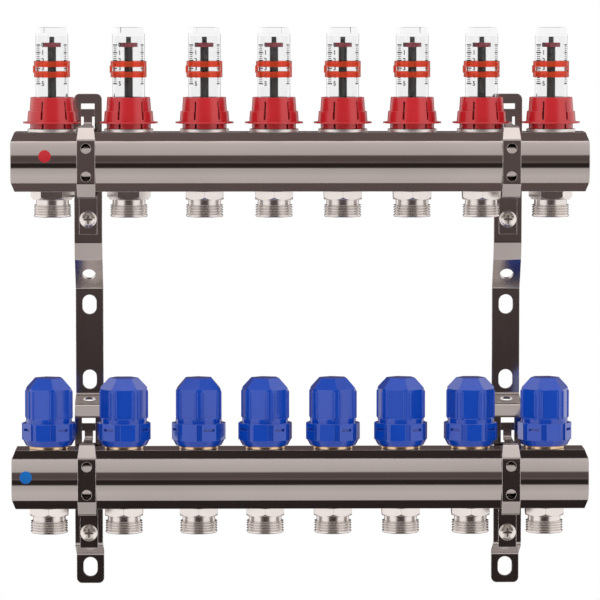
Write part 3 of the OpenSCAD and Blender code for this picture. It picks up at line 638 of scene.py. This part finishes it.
def tick(width, tall):
    clear_selection()
    bpy.ops.mesh.primitive_plane_add(size=1)
    line = bpy.context.object
    line.scale = (width, tall, 1)
    settle(line)
    bpy.ops.object.mode_set(mode="EDIT")
    for share in (-0.25, 0.0, 0.25):
        bpy.ops.mesh.select_all(action="SELECT")
        bpy.ops.mesh.bisect(plane_co=(share * width, 0, 0), plane_no=(1, 0, 0))
    bpy.ops.mesh.select_all(action="SELECT")
    bpy.ops.mesh.extrude_region_move(TRANSFORM_OT_translate={"value": (0, 0, ink_h)})
    bpy.ops.mesh.select_all(action="SELECT")
    bpy.ops.mesh.normals_make_consistent(inside=False)
    bpy.ops.object.mode_set(mode="OBJECT")
    return line


def wrapped(flat, turn, z):
    for v in flat.data.vertices:
        angle = v.co.x / tube_r + math.radians(turn)
        out = ink_r + ink_h / 2 + v.co.z
        v.co = Vector((out * math.sin(angle), -out * math.cos(angle), z + v.co.y))
    return flat


# one unit of flow in metres of scale, and where the columns stand, in degrees from the front
prints = []
unit = 0.0055
units = 5
ticks_per_unit = 4
left_turn, digit_turn, right_turn = -55, -31, 58
right_share = 0.7
long_tick, short_tick = (0.0052, 0.0009), (0.0036, 0.00055)
for step in range(units * ticks_per_unit + 1):
    z = disc_z - step * unit / ticks_per_unit
    whole = step % ticks_per_unit == 0
    width, tall = long_tick if whole else short_tick
    prints.append(wrapped(tick(width, tall), left_turn, z))
    prints.append(wrapped(tick(right_share * width, tall), right_turn, z))
    if whole:
        prints.append(wrapped(digit(str(step // ticks_per_unit)), digit_turn, z))
pattern_scale = join(prints)
pattern_scale.data.materials.clear()
pattern_scale.data.materials.append(ink.material)
print("scale pattern", len(pattern_scale.data.polygons), "faces")

# %% Scale copies
for n in circuits:
    low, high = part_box(f"marker_{n}")
    scale = copied(pattern_scale, ((low.x + high.x) / 2, (low.y + high.y) / 2, 0))
    scale.name = f"printed_scale_{n}"
    settle(scale)
    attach(scale, "manifold")
bpy.data.objects.remove(pattern_scale)
print(len(circuits), "printed scales")

# %% [markdown]
# ## Ribs on the caps
# The grip of each cap is ribbed along its six corners, so that a wet hand can turn it. A rib is a thin rod whose
# ends are rounded with a bevel in edit mode, half sunk in the corner. How far a cap is turned is read from the
# corner of its six-sided top, so the ribs follow their cap wherever it stands.

# %% Cap ribs
grip_r = 0.0162
rib_r = 0.0013
rib_end = 0.001
same_height = 0.0001
grip_low = 0.0192
grip_h = 0.0202
rib_spread = math.radians(7.0)
cap_sides = 6
clear_selection()
bpy.ops.mesh.primitive_cylinder_add(vertices=24, radius=rib_r, depth=grip_h,
                                    location=(0, 0, grip_low + grip_h / 2))
pattern_rib = bpy.context.object
settle(pattern_rib)
bpy.ops.object.mode_set(mode="EDIT")
pick_faces(pattern_rib, lambda middle: abs(middle.z - grip_low - grip_h / 2) > grip_h / 2 - same_height)
bpy.ops.mesh.bevel(offset=rib_end, segments=4)
bpy.ops.mesh.select_all(action="SELECT")
bpy.ops.mesh.normals_make_consistent(inside=False)
bpy.ops.object.mode_set(mode="OBJECT")
pattern_rib.data.materials.append(blue.material)

for n in circuits:
    low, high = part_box(f"cap_{n}")
    middle = Vector(((low.x + high.x) / 2, (low.y + high.y) / 2, low.z))
    cap = nodes[f"cap_{n}"]
    top = [cap.matrix_world @ v.co - middle for v in cap.data.vertices]
    top = [place for place in top if place.z > high.z - low.z - same_height]
    corner = max(top, key=lambda place: place.xy.length)
    first_turn = math.atan2(corner.y, corner.x)
    ribs_here = []
    for side in range(cap_sides):
        for lean in (-rib_spread, rib_spread):
            turn = first_turn + side * 2 * math.pi / cap_sides + lean
            out = Vector((grip_r * math.cos(turn), grip_r * math.sin(turn), 0))
            ribs_here.append(copied(pattern_rib, middle + out))
    cap_ribs = join(ribs_here)
    cap_ribs.name = f"cap_ribs_{n}"
    settle(cap_ribs)
    bpy.ops.object.shade_smooth_by_angle(angle=smooth_below)
    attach(cap_ribs, f"cap_{n}")
bpy.data.objects.remove(pattern_rib)
print("ribs on", len(circuits), "caps")

# %% [markdown]
# ## Last update
# The dressed manifold has to stay in the box of its solids. At the end the view layer is updated once more.

# %% Finish
bpy.context.view_layer.update()
